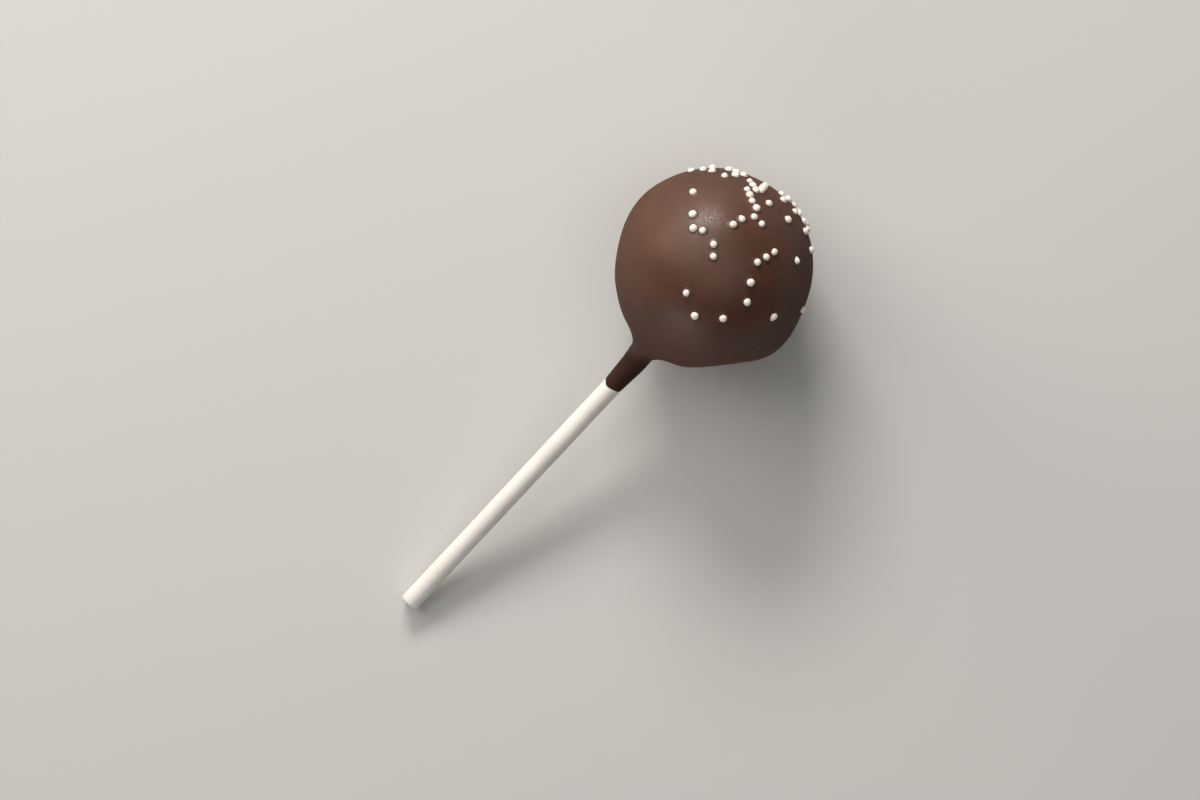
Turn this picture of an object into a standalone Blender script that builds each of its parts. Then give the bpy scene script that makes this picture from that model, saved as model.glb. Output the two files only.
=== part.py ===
"""A cake pop lying on its side: a chocolate coated cake ball with sugar pearls, on a paper stick.

Metres, +Z up. The origin is the middle of the small flat spot that the ball rests on. +X points from
the stick's bare tip towards the ball's crown, seen from above, and +Y to the left of that.
The ball and the stick are modelled in the pop's own frame, whose X axis is the stick's line, and an
empty leans that frame so that the ball's flat spot and the stick's tip both touch the ground.
"""

import math
import random

import bmesh
import bpy
from mathutils import Euler, Matrix, Quaternion, Vector

MM = 0.001

# The paper stick, a common one of 5/32 by 4 inches. Its bare end is called the tip.
STICK_RADIUS = 2.0 * MM
STICK_LENGTH = 101.6 * MM
STICK_EDGE = 0.25 * MM
STICK_SIDES = 36
TIP_TO_BALL = 95.3 * MM  # along the stick, from the tip to abreast of the ball's centre

# The cake ball under its coating. It sits a little to the left of the stick's line.
BALL_RADIUS = 20.5 * MM
BALL_OFFSET = 1.15 * MM
BALL_CENTRE = Vector((0.0, BALL_OFFSET, 0.0))
FLAT_DEPTH = 0.3 * MM  # what is missing of the ball under its flat spot
FIT_GAP = 0.2 * MM  # all round the stick in its hole

# The coating's outline behind the ball. Places along the stick count from the ball's centre.
SHOULDER_POLAR = math.radians(144)  # where the round of the ball ends, from the crown
SHOULDER_PULL = 5.9 * MM  # how far the round carries on before it turns in
THROAT_PLACE = -23.4 * MM
THROAT_RADIUS = 2.7 * MM
THROAT_PULL = 1.3 * MM
COLLAR_PLACE = -32.2 * MM
COLLAR_RADIUS = 2.42 * MM
COLLAR_TONGUE = 0.7 * MM  # further along the stick on the upper side, and less far below

# Places between which the swells and the offset of the ball grow from none to the whole.
SWELLS_FADE = (-21.8 * MM, -18.4 * MM)
OFFSET_FADE = (-27.5 * MM, -14.0 * MM)

ROUND_STEPS = 56  # round the stick's line
BALL_RINGS = 20  # from the crown to the shoulder
THROAT_RINGS = 9

# Where the coating isn't round: polar angle from the crown, azimuth from the upper side towards the
# left, height and half width. Angles are in degrees.
SHOULDER_RIDGE = (158, 0.62 * MM, 17)  # all the way round, without an azimuth
SWELLS = (
    (100, -88, 0.85 * MM, 13),  # the corner on the right
    (131, -90, -1.45 * MM, 10),  # the hollow between that corner and the neck
    (62, -90, -0.5 * MM, 22),  # the flatter stretch up to the crown
    (90, 88, 0.45 * MM, 15),
    (15, 90, -0.6 * MM, 13),
    (122, 86, -0.25 * MM, 16),
    (58, 160, 0.5 * MM, 20),
    (118, 128, 0.4 * MM, 14),
    (70, -140, -0.4 * MM, 16),
)

# Sugar pearls, sunk to just under their middles. They fell alone and in short strings, closest on the
# crown. Each lone one has a polar angle and an azimuth. A string has those of both its ends, and how
# many pearls it holds.
PEARL_RADIUS = 0.78 * MM
PEARL_SPREAD = 0.09  # of the radius, up or down
PEARL_PROUD = 0.1  # of the radius, from the skin up to the pearl's middle
PEARL_SIDES = 7
PEARL_RINGS = 4
PEARL_GAP = 0.04 * MM
LONE_PEARLS = (
    (24, 6),
    (24, -30),
    (25, -76),
    (24, -116),
    (36, -82),
    (46, -50),
    (41, -4),
    (60, 50),
    (68, 34),
    (81, -50),
    (71, -80),
    (99, -24),
)
PEARL_STRINGS = (
    ((56, 85), (49, 82), 2),
    ((44, 89), (44, 76), 2),
    ((34.5, 87), (25.5, 81), 3),
    ((31, 69), (38, 63), 2),
    ((11.5, 78), (20.5, 33), 4),
    ((23, 59), (24, 34), 3),
    ((30, 36), (33.5, 19), 3),
    ((35, 10), (41, 5), 2),
    ((48, 10), (54.5, 11), 2),
    ((73, 26), (70, 21), 2),
    ((71, 10), (76, 5), 2),
    ((3, 165), (17, 232), 4),
    ((7, -19), (12.5, -68), 2),
    ((14.5, -99), (24.5, -97), 3),
    ((50, -25), (61.5, -18), 3),
    ((73, -22), (83, -28), 2),
    ((102, 2), (109, -11), 2),
)
# The under side has about as many again, drawn by the rule in lower_pearls.
LOWER_PEARLS = 50
UNDER_SIDE_FROM = math.radians(14)  # below the ball's widest line
CROWN_CROWDING = 1.6  # above 1 draws more of them to the crown
FARTHEST_POLAR = 112
LONGEST_STRING = 4
STRING_STEPS = (math.radians(5), math.radians(10))  # least and most from one pearl to the next
STRING_BEND = math.radians(50)  # most at a pearl, to either side
CLEAR_OF_GROUND = 0.05 * MM
SEED = 11

CHOCOLATE = (0.085, 0.043, 0.032, 1.0)
SUGAR = (0.86, 0.83, 0.77, 1.0)
PAPER = (0.84, 0.81, 0.76, 1.0)


def lean_of_stick():
    """The angle that lets the flat spot and the rounded edge of the tip touch the ground together."""
    along = TIP_TO_BALL - STICK_EDGE
    height = BALL_RADIUS - FLAT_DEPTH
    return math.asin(height / math.hypot(along, STICK_RADIUS)) - math.atan2(STICK_RADIUS, along)


def smooth_step(value, low, high):
    """0 up to low, 1 from high on, and a smooth rise between them."""
    share = min(max((value - low) / (high - low), 0.0), 1.0)
    return share * share * (3 - 2 * share)


def direction_of(polar, azimuth):
    """The way from the ball's centre to a place on it, from its angles in degrees."""
    polar, azimuth = math.radians(polar), math.radians(azimuth)
    return Vector(
        (
            math.cos(polar),
            math.sin(polar) * math.sin(azimuth),
            math.sin(polar) * math.cos(azimuth),
        )
    )


def bell(degrees_off, half_width):
    return math.exp(-0.5 * (degrees_off / half_width) ** 2)


def swell(direction):
    """How far the coating stands out of the true ball this way from its centre."""
    ridge_polar, ridge_height, ridge_width = SHOULDER_RIDGE
    polar = math.degrees(math.acos(max(-1.0, min(1.0, direction.x))))
    height = ridge_height * bell(polar - ridge_polar, ridge_width)
    for place_polar, place_azimuth, lump, width in SWELLS:
        off = math.degrees(direction.angle(direction_of(place_polar, place_azimuth)))
        height += lump * bell(off, width)
    return height


def bezier(start, start_handle, end_handle, end, share):
    """A point of one cubic curve, share of the way along."""
    rest = 1 - share
    weights = (rest**3, 3 * rest**2 * share, 3 * rest * share**2, share**3)
    corners = (start, start_handle, end_handle, end)
    return tuple(sum(w * c[i] for w, c in zip(weights, corners)) for i in range(2))


def coating_outline():
    """The coating from its crown to the middle of the collar's end, as (place, radius) pairs."""
    points = []
    for ring in range(BALL_RINGS + 1):
        polar = SHOULDER_POLAR * ring / BALL_RINGS
        points.append((BALL_RADIUS * math.cos(polar), BALL_RADIUS * math.sin(polar)))
    shoulder = points[-1]
    heading = (-math.sin(SHOULDER_POLAR), math.cos(SHOULDER_POLAR))
    shoulder_handle = tuple(p + SHOULDER_PULL * h for p, h in zip(shoulder, heading))
    throat = (THROAT_PLACE, THROAT_RADIUS)
    throat_handle = (THROAT_PLACE + THROAT_PULL, THROAT_RADIUS)
    for ring in range(1, THROAT_RINGS + 1):
        share = ring / THROAT_RINGS
        points.append(bezier(shoulder, shoulder_handle, throat_handle, throat, share))
    middle = (THROAT_PLACE + COLLAR_PLACE) / 2
    points.append((middle, (THROAT_RADIUS + COLLAR_RADIUS) / 2))
    points.append((COLLAR_PLACE, COLLAR_RADIUS))
    points.append((COLLAR_PLACE, 0.0))
    return points


def material(name, colour, roughness):
    made = bpy.data.materials.new(name)
    made.use_nodes = True
    shader = made.node_tree.nodes["Principled BSDF"]
    shader.inputs["Base Color"].default_value = colour
    shader.inputs["Roughness"].default_value = roughness
    shader.inputs["Metallic"].default_value = 0.0
    return made


def add_object(name, mesh, collection, parent=None):
    obj = bpy.data.objects.new(name, mesh)
    collection.objects.link(obj)
    obj.parent = parent
    return obj


def turned_coating(collection, parent):
    """The outline turned about the stick's line, then moved off it and made uneven."""
    outline = bpy.data.meshes.new("coating_outline")
    points = [(place, radius, 0.0) for place, radius in coating_outline()]
    edges = [(i, i + 1) for i in range(len(points) - 1)]
    outline.from_pydata(points, edges, [])
    turned = add_object("coating_outline", outline, collection)
    screw = turned.modifiers.new("turn", "SCREW")
    screw.axis = "X"
    screw.steps = screw.render_steps = ROUND_STEPS
    screw.use_merge_vertices = True
    screw.merge_threshold = 0.01 * MM
    graph = bpy.context.evaluated_depsgraph_get()
    mesh = bpy.data.meshes.new_from_object(turned.evaluated_get(graph))
    bpy.data.objects.remove(turned)
    for vertex in mesh.vertices:
        vertex.co = coating_point(vertex.co)
    mesh.name = "cake_ball"
    mesh.shade_smooth()
    return add_object("cake_ball", mesh, collection, parent)


def coating_point(turned):
    """Where a point of the turned coating goes: swells and offset on the ball, a tongue on the collar."""
    place = turned.x
    outward = turned.normalized()
    moved = turned + outward * swell(outward) * smooth_step(place, *SWELLS_FADE)
    moved.y += BALL_OFFSET * smooth_step(place, *OFFSET_FADE)
    on_collar = smooth_step(-place, -THROAT_PLACE, -COLLAR_PLACE)
    moved.x -= COLLAR_TONGUE * on_collar * turned.z / COLLAR_RADIUS
    return moved


def skin_place(direction):
    """The point of the ball's skin this way from the ball's centre, in the pop's frame."""
    return BALL_CENTRE + direction * (BALL_RADIUS + swell(direction))


def string_between(start, end, count):
    """Evenly spaced ways from the ball's centre, along the great circle from start to end."""
    first, last = direction_of(*start), direction_of(*end)
    axis, whole_turn = first.cross(last).normalized(), first.angle(last)
    return [Quaternion(axis, whole_turn * i / (count - 1)) @ first for i in range(count)]


def upper_pearls():
    directions = [direction_of(*place) for place in LONE_PEARLS]
    for string in PEARL_STRINGS:
        directions += string_between(*string)
    return [skin_place(direction) for direction in directions]


def drawn_string(rng):
    """The ways to one to a few pearls in a bent row, its place and heading drawn at random."""
    polar = FARTHEST_POLAR * rng.random() ** CROWN_CROWDING
    direction = direction_of(polar, rng.uniform(0, 360))
    axis = Quaternion(direction, rng.uniform(0, 2 * math.pi)) @ direction.orthogonal().normalized()
    string = [direction]
    for _ in range(rng.randint(0, LONGEST_STRING - 1)):
        direction = Quaternion(axis, rng.uniform(*STRING_STEPS)) @ direction
        axis = Quaternion(direction, rng.uniform(-STRING_BEND, STRING_BEND)) @ axis
        string.append(direction)
    return string


def fits(place, taken, down):
    """Whether a pearl here is on the under side, clear of the others and off the ground."""
    reach = place - BALL_CENTRE
    lowest = reach.dot(down) + PEARL_RADIUS * (1 + PEARL_SPREAD + PEARL_PROUD)
    is_under = reach.normalized().dot(down) > math.sin(UNDER_SIDE_FROM)
    is_off_ground = lowest < BALL_RADIUS - FLAT_DEPTH - CLEAR_OF_GROUND
    nearest = 2 * PEARL_RADIUS + PEARL_GAP
    return is_under and is_off_ground and all((place - other).length > nearest for other in taken)


def lower_pearls(rng, taken, lean):
    """Short strings drawn at random on the under side, most of them near the crown."""
    down = Vector((-math.sin(lean), 0.0, -math.cos(lean)))
    drawn = []
    while len(drawn) < LOWER_PEARLS:
        for direction in drawn_string(rng):
            place = skin_place(direction)
            if fits(place, taken + drawn, down):
                drawn.append(place)
    return drawn[:LOWER_PEARLS]


def pearl_places(lean):
    """Every pearl's place on the skin, those of the upper side first."""
    upper = upper_pearls()
    return upper + lower_pearls(random.Random(SEED), upper, lean)


def pearl_mesh(finish):
    ball = bmesh.new()
    bmesh.ops.create_uvsphere(ball, u_segments=PEARL_SIDES, v_segments=PEARL_RINGS, radius=1.0)
    mesh = bpy.data.meshes.new("pearl")
    ball.to_mesh(mesh)
    ball.free()
    mesh.materials.append(finish)
    return mesh


def add_pearls(places, collection, parent, finish):
    """One pearl for each place, sunk into the skin, no two of quite the same size."""
    rng = random.Random(SEED)
    mesh = pearl_mesh(finish)
    for number, place in enumerate(places):
        radius = PEARL_RADIUS * (1 + rng.uniform(-PEARL_SPREAD, PEARL_SPREAD))
        outward = (place - BALL_CENTRE).normalized()
        spin = rng.uniform(0, 2 * math.pi)
        pearl = add_object(f"pearl_{number:03d}", mesh, collection, parent)
        pearl.location = place + outward * radius * PEARL_PROUD
        upright = outward.to_track_quat("Z", "Y") @ Euler((0, 0, spin)).to_quaternion()
        pearl.rotation_euler = upright.to_euler()
        pearl.scale = (radius, radius, radius)


def add_rod(name, radius, length, collection, parent):
    """A round rod on the X axis, from the stick's tip towards the ball."""
    rod = bmesh.new()
    bmesh.ops.create_cone(
        rod,
        cap_ends=True,
        segments=STICK_SIDES,
        radius1=radius,
        radius2=radius,
        depth=length,
        matrix=Matrix.Rotation(math.radians(90), 4, "Y"),
    )
    mesh = bpy.data.meshes.new(name)
    rod.to_mesh(mesh)
    rod.free()
    placed = add_object(name, mesh, collection, parent)
    placed.location.x = length / 2 - TIP_TO_BALL
    return placed


def soften_ends(stick):
    bevel = stick.modifiers.new("softened_ends", "BEVEL")
    bevel.width = STICK_EDGE
    bevel.segments = 2
    bevel.limit_method = "ANGLE"
    stick.data.shade_smooth()


def add_ground_cutter(collection):
    """A block whose upper face is the ground."""
    side, depth = 4 * BALL_RADIUS, BALL_RADIUS
    block = bmesh.new()
    size = Matrix.Diagonal((side, side, depth, 1.0))
    bmesh.ops.create_cube(block, size=1.0, matrix=Matrix.Translation((0, 0, -depth / 2)) @ size)
    mesh = bpy.data.meshes.new("ground_cutter")
    block.to_mesh(mesh)
    block.free()
    return add_object("ground_cutter", mesh, collection)


def hide_helpers(collection):
    for helper in collection.objects:
        helper.hide_render = True
        helper.display_type = "WIRE"


def join_pearls(ball, pearls):
    """Fuses the pearls to the coating, applies the union and removes the loose pearls."""
    union = ball.modifiers.new("pearls", "BOOLEAN")
    union.operation = "UNION"
    union.operand_type = "COLLECTION"
    union.collection = pearls
    union.material_mode = "TRANSFER"
    bpy.context.view_layer.update()
    graph = bpy.context.evaluated_depsgraph_get()
    fused = bpy.data.meshes.new_from_object(ball.evaluated_get(graph))
    ball.modifiers.clear()
    ball.data = fused
    fused.name = "cake_ball"
    for pearl in list(pearls.objects):
        bpy.data.objects.remove(pearl)
    bpy.data.collections.remove(pearls)


def cut(body, cutter):
    difference = body.modifiers.new(cutter.name, "BOOLEAN")
    difference.operation = "DIFFERENCE"
    difference.object = cutter


def main():
    for obj in list(bpy.data.objects):
        bpy.data.objects.remove(obj)
    parts = bpy.data.collections.new("cake_pop")
    cutters = bpy.data.collections.new("cutters")
    pearls = bpy.data.collections.new("pearls")
    for collection in (parts, cutters, pearls):
        bpy.context.scene.collection.children.link(collection)

    lean = lean_of_stick()
    frame = add_object("pop_frame", None, parts)
    frame.location = (0.0, -BALL_OFFSET, BALL_RADIUS - FLAT_DEPTH)
    frame.rotation_euler.y = -lean

    ball = turned_coating(parts, frame)
    ball.data.materials.append(material("chocolate_coating", CHOCOLATE, 0.42))
    add_pearls(pearl_places(lean), pearls, frame, material("sugar_pearl", SUGAR, 0.5))
    join_pearls(ball, pearls)

    stick = add_rod("stick", STICK_RADIUS, STICK_LENGTH, parts, frame)
    stick.data.materials.append(material("rolled_paper", PAPER, 0.75))
    soften_ends(stick)

    hole = add_rod("stick_hole", STICK_RADIUS + FIT_GAP, STICK_LENGTH + FIT_GAP, cutters, frame)
    ground = add_ground_cutter(cutters)
    hide_helpers(cutters)
    cut(ball, hole)
    cut(ball, ground)


main()
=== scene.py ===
# %% [markdown]
# # A cake pop on its side
#
# A cake pop is a ball of cake on a paper stick. It is dipped in melted chocolate, sprinkled with sugar
# pearls while the chocolate is wet, and left to set. This one lies down, so the stick slopes from the
# ball to the table. Its plain solids were made before this lesson. Here each of them gets its real
# surface, in mesh code and in node materials, and stays exactly where the solid is.

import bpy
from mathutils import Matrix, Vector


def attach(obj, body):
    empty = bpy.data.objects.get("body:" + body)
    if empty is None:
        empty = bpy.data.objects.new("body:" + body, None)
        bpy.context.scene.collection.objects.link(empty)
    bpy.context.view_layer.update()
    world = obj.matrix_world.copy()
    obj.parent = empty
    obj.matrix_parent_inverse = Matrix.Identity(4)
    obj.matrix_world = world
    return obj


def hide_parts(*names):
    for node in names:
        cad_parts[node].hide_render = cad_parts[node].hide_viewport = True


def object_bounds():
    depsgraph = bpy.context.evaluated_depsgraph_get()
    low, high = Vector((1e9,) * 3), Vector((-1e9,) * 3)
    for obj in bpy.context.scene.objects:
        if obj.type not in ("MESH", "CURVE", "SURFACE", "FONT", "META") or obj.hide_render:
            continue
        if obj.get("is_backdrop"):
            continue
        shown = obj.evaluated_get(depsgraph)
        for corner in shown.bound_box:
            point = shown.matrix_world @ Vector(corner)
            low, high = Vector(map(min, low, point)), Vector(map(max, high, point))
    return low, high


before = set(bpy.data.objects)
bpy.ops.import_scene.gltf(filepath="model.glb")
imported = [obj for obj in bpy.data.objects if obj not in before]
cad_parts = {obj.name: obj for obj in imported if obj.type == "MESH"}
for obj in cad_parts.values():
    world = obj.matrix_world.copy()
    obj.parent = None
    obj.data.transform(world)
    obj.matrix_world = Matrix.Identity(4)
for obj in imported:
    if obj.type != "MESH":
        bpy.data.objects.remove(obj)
cad_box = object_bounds()
print("solids to dress:", sorted(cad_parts))

# %% Tools
import math
import random

import bmesh
import bpy
import numpy as np
from mathutils import Euler, Quaternion, Vector, noise

# %% [markdown]
# ## The driving sizes
#
# Everything hangs on a common paper stick of 4 mm by 101.6 mm. Measured against it, the coated ball is
# 41 mm thick. The ball isn't quite in line with its stick, because cake is soft when it is pressed on,
# and a flat spot of a few millimetres keeps it from rolling. Lengths are in metres, so each is written
# as millimetres times MM.

# %% The stick and the ball
MM = 0.001
STICK_RADIUS = 2.0 * MM
STICK_LENGTH = 101.6 * MM
STICK_EDGE = 0.25 * MM
TIP_TO_BALL = 95.3 * MM  # along the stick, from its bare tip to abreast of the ball's centre
BALL_RADIUS = 20.5 * MM
BALL_OFFSET = 1.15 * MM  # to the left of the stick's line
BALL_CENTRE = Vector((0.0, BALL_OFFSET, 0.0))
FLAT_DEPTH = 0.3 * MM  # what is missing of the ball under its flat spot
CENTRE_HEIGHT = BALL_RADIUS - FLAT_DEPTH
print(f"ball {2 * BALL_RADIUS / MM:.1f} mm, stick {STICK_LENGTH / MM:.1f} mm")

# %% [markdown]
# ## Laying the pop down
#
# The pop is easiest to model along its own stick: X runs along the stick towards the ball's crown. The
# finished points are then leant over as one, until the flat spot and the tip's edge both touch the
# table. Parenting to a leaning empty would do the same, but here the lean goes into the mesh points, so
# that every object keeps its origin at the frame's origin, as the solids do.

# %% The lean of the stick


def lean_of_stick():
    """The angle that lets the flat spot and the rounded edge of the tip touch the table together."""
    along = TIP_TO_BALL - STICK_EDGE
    return math.asin(CENTRE_HEIGHT / math.hypot(along, STICK_RADIUS)) - math.atan2(STICK_RADIUS, along)


def laid_down(points):
    """Points of the pop's own frame, as they lie on the table."""
    x = points[:, 0] * math.cos(lean) - points[:, 2] * math.sin(lean)
    z = points[:, 0] * math.sin(lean) + points[:, 2] * math.cos(lean)
    return np.column_stack((x, points[:, 1] - BALL_OFFSET, z + CENTRE_HEIGHT))


lean = lean_of_stick()
print(f"the stick slopes by {math.degrees(lean):.2f} degrees")

# %% [markdown]
# ## The camera
#
# The picture looks straight down on the pop, and the stick looks as thick at its tip as at the ball, so
# the lens is a long one. Two places fix the rest: the ball's centre and the middle of the tip. The line
# between them gives the picture's turn and its scale, and the camera's height follows from the scale.

# %% Look straight down
PICTURE_WIDTH, PICTURE_HEIGHT = 1200, 800
BALL_PIXEL = (715.0, 267.5)
TIP_PIXEL = (407.5, 604.5)
LENS = 300.0
SENSOR_WIDTH = 36.0
FARTHEST_SEEN = 10.0  # metres from the lens

tip_to_ball_pixels = (BALL_PIXEL[0] - TIP_PIXEL[0], TIP_PIXEL[1] - BALL_PIXEL[1])
tip_to_ball_plan = (TIP_TO_BALL * math.cos(lean), BALL_OFFSET)
pixel_size = math.hypot(*tip_to_ball_plan) / math.hypot(*tip_to_ball_pixels)
picture_turn = math.atan2(*reversed(tip_to_ball_plan)) - math.atan2(*reversed(tip_to_ball_pixels))
picture_right = Vector((math.cos(picture_turn), math.sin(picture_turn), 0.0))
picture_up = Vector((-math.sin(picture_turn), math.cos(picture_turn), 0.0))

camera_data = bpy.data.cameras.new("camera_above")
camera_data.lens = LENS
camera_data.sensor_width = SENSOR_WIDTH
camera_data.clip_end = FARTHEST_SEEN
camera = bpy.data.objects.new("camera_above", camera_data)
bpy.context.scene.collection.objects.link(camera)
bpy.context.scene.camera = camera
to_right = (BALL_PIXEL[0] - PICTURE_WIDTH / 2) * pixel_size
to_top = (PICTURE_HEIGHT / 2 - BALL_PIXEL[1]) * pixel_size
above = Vector((0.0, 0.0, CENTRE_HEIGHT + PICTURE_WIDTH * pixel_size * LENS / SENSOR_WIDTH))
camera.location = above - picture_right * to_right - picture_up * to_top
camera.rotation_euler = (0.0, 0.0, picture_turn)
print(f"{pixel_size / MM:.4f} mm a pixel, turned by {math.degrees(picture_turn):.2f} degrees")

# %% [markdown]
# ## Small helpers
#
# Every piece ends the same way: its points are laid down and become a mesh object. Every finish is a
# node tree with a few textures in front of one shader. A few short helpers keep the cells below about
# the cake pop and not about bookkeeping.

# %% Meshes and nodes


def add_piece(name, points, faces, finish):
    """A smooth mesh object from points of the pop's own frame, laid down on the table."""
    mesh = bpy.data.meshes.new(name)
    mesh.from_pydata(laid_down(points).tolist(), [], faces)
    mesh.materials.append(finish)
    mesh.shade_smooth()
    mesh.validate()
    piece = bpy.data.objects.new(name, mesh)
    bpy.context.scene.collection.objects.link(piece)
    return piece


def in_use(sockets, name):
    """The socket of this name that the node uses. A Mix node keeps one for each kind of value."""
    return next(socket for socket in sockets if socket.name == name and socket.enabled)


def add_node(tree, kind, inputs=None, **settings):
    """A shader node with its settings made, and its inputs set, or linked where a socket is given."""
    node = tree.nodes.new(kind)
    for name, value in settings.items():
        setattr(node, name, value)
    for name, value in (inputs or {}).items():
        socket = in_use(node.inputs, name)
        if isinstance(value, bpy.types.NodeSocket):
            tree.links.new(value, socket)
        else:
            socket.default_value = value
    return node


def add_ramp(tree, value, stops):
    """Colours that follow a value, from stops of a place and a colour, the lowest first."""
    node = add_node(tree, "ShaderNodeValToRGB", {"Fac": value})
    elements = node.color_ramp.elements
    elements.remove(elements[-1])
    for position, colour in stops[1:]:
        elements.new(position).color = colour
    elements[0].position, elements[0].color = stops[0]
    return node


def new_finish(name):
    """An empty node material and its tree."""
    finish = bpy.data.materials.new(name)
    finish.use_nodes = True
    finish.node_tree.nodes.clear()
    return finish, finish.node_tree


def smooth_step(value, low, high):
    """0 up to low, 1 from high on, and a smooth rise between them."""
    share = np.clip((value - low) / (high - low), 0.0, 1.0)
    return share * share * (3 - 2 * share)


def triangles_of(piece):
    """How many triangles the faces of a piece make."""
    return sum(len(face.vertices) - 2 for face in piece.data.polygons)


print("helpers are ready")

# %% [markdown]
# ## The table and the light
#
# The pop lies on a plain pale table. The light is that of a small food studio. One wide soft box at the
# upper left lights everything and throws the shadow to the lower right. A narrow one, low beyond the
# top of the picture, makes the soft highlight on the chocolate. A wide one nearly straight above softens
# the shades, and two weak low ones, a warm one at the left and one at the lower left, round off the
# sides. The room itself stays dim, which keeps the chocolate deep. A sun lamp would be simpler, but
# chocolate shows its shape through what it reflects, so the lamps need a real size. The table's grey
# changes faintly from place to place, because one even grey looks drawn.

# %% The table
TABLE_SIDE = 6.0
TABLE_GREY = (0.57, 0.565, 0.55, 1.0)
TABLE_PALE = (0.60, 0.595, 0.58, 1.0)
TABLE_CLOUDS = 9.0  # from one side of the table to the other
TABLE_ROUGHNESS = 0.9

table_top, tree = new_finish("pale_table")
cloudy = add_node(tree, "ShaderNodeTexNoise", {"Scale": TABLE_CLOUDS, "Detail": 3.0})
pale = add_node(
    tree,
    "ShaderNodeMix",
    {"Factor": cloudy.outputs["Fac"], "A": TABLE_GREY, "B": TABLE_PALE},
    data_type="RGBA",
)
shader = add_node(
    tree,
    "ShaderNodeBsdfPrincipled",
    {"Base Color": in_use(pale.outputs, "Result"), "Roughness": TABLE_ROUGHNESS},
)
add_node(tree, "ShaderNodeOutputMaterial", {"Surface": shader.outputs["BSDF"]})

half = TABLE_SIDE / 2
corners = [(-half, -half, 0.0), (half, -half, 0.0), (half, half, 0.0), (-half, half, 0.0)]
table_mesh = bpy.data.meshes.new("table")
table_mesh.from_pydata(corners, [], [(0, 1, 2, 3)])
table_mesh.materials.append(table_top)
table = bpy.data.objects.new("table", table_mesh)
bpy.context.scene.collection.objects.link(table)
table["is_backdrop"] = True
print(f"a table of {TABLE_SIDE:.0f} m")

# %% The soft boxes
LAMP_DISTANCE = 0.9  # metres from the ball's centre
NEARLY_WHITE = (1.0, 0.97, 0.93)
WARM_WHITE = (1.0, 0.84, 0.62)
PLAIN_WHITE = (0.97, 0.97, 1.0)


def add_softbox(name, bearing, height, size, power, colour):
    """A lamp with a wide face. Its bearing, from the picture's top clockwise, is in degrees."""
    turn, rise = math.radians(bearing), math.radians(height)
    level = picture_right * math.sin(turn) + picture_up * math.cos(turn)
    toward = level * math.cos(rise) + Vector((0.0, 0.0, math.sin(rise)))
    lamp = bpy.data.lights.new(name, "AREA")
    lamp.shape = "RECTANGLE"
    lamp.size, lamp.size_y = size
    lamp.energy = power
    lamp.color = colour
    box = bpy.data.objects.new(name, lamp)
    bpy.context.scene.collection.objects.link(box)
    box.location = Vector((0.0, 0.0, CENTRE_HEIGHT)) + toward * LAMP_DISTANCE
    box.rotation_euler = toward.to_track_quat("Z", "Y").to_euler()
    box.visible_camera = False
    print(f"{name}: {power} W at {bearing} degrees, {height} degrees up")


add_softbox("key_box", bearing=312, height=46, size=(0.8, 0.8), power=4.2, colour=NEARLY_WHITE)
add_softbox("highlight_box", bearing=349, height=30, size=(0.4, 0.2), power=7.0, colour=NEARLY_WHITE)
add_softbox("warm_side_box", bearing=306, height=16, size=(0.5, 0.2), power=1.7, colour=WARM_WHITE)
add_softbox("low_box", bearing=210, height=10, size=(0.5, 0.3), power=1.7, colour=PLAIN_WHITE)
add_softbox("top_box", bearing=110, height=80, size=(0.8, 0.8), power=2.1, colour=NEARLY_WHITE)

# %% The room
ROOM_COLOUR = (0.93, 0.96, 1.0, 1.0)
ROOM_STRENGTH = 0.03

room = bpy.data.worlds.new("dim_room")
bpy.context.scene.world = room
room.use_nodes = True
room.node_tree.nodes["Background"].inputs["Color"].default_value = ROOM_COLOUR
room.node_tree.nodes["Background"].inputs["Strength"].default_value = ROOM_STRENGTH
bpy.context.scene.view_settings.view_transform = "Standard"
print("room:", room.name)

# %% [markdown]
# ## Where the pearls lie
#
# Sugar pearls are shaken over the wet pop. Some stay alone and some roll into short strings, and most
# land on the crown. On the upper side their places are set one by one, as angles on the ball: the polar
# angle is counted from the crown, and the azimuth from the upper side towards the left. The under side
# is filled by a rule with seeded chance. Both are the same as in the solid, because each pearl has to
# lie where its solid is.

# %% The uneven ball
# Polar angle, azimuth, height and half width of each swell. The ridge runs all the way round, so it
# has no azimuth. Angles here are in degrees.
SHOULDER_RIDGE = (158, 0.62 * MM, 17)
SWELLS = (
    (100, -88, 0.85 * MM, 13),  # the corner on the right
    (131, -90, -1.45 * MM, 10),  # the hollow between that corner and the neck
    (62, -90, -0.5 * MM, 22),  # the flatter stretch up to the crown
    (90, 88, 0.45 * MM, 15),
    (15, 90, -0.6 * MM, 13),
    (122, 86, -0.25 * MM, 16),
    (58, 160, 0.5 * MM, 20),
    (118, 128, 0.4 * MM, 14),
    (70, -140, -0.4 * MM, 16),
)


def direction_of(polar, azimuth):
    """The way from the ball's centre to a place on it, from its angles in degrees."""
    polar, azimuth = math.radians(polar), math.radians(azimuth)
    across = math.sin(polar)
    return Vector((math.cos(polar), across * math.sin(azimuth), across * math.cos(azimuth)))


def bell(off, half_width):
    """1 in the middle, and less and less away from it."""
    return np.exp(-0.5 * (off / half_width) ** 2)


def degrees_between(directions, direction):
    """The angles between an array of ways and one other way."""
    return np.degrees(np.arccos(np.clip(directions @ np.array(direction), -1.0, 1.0)))


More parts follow.
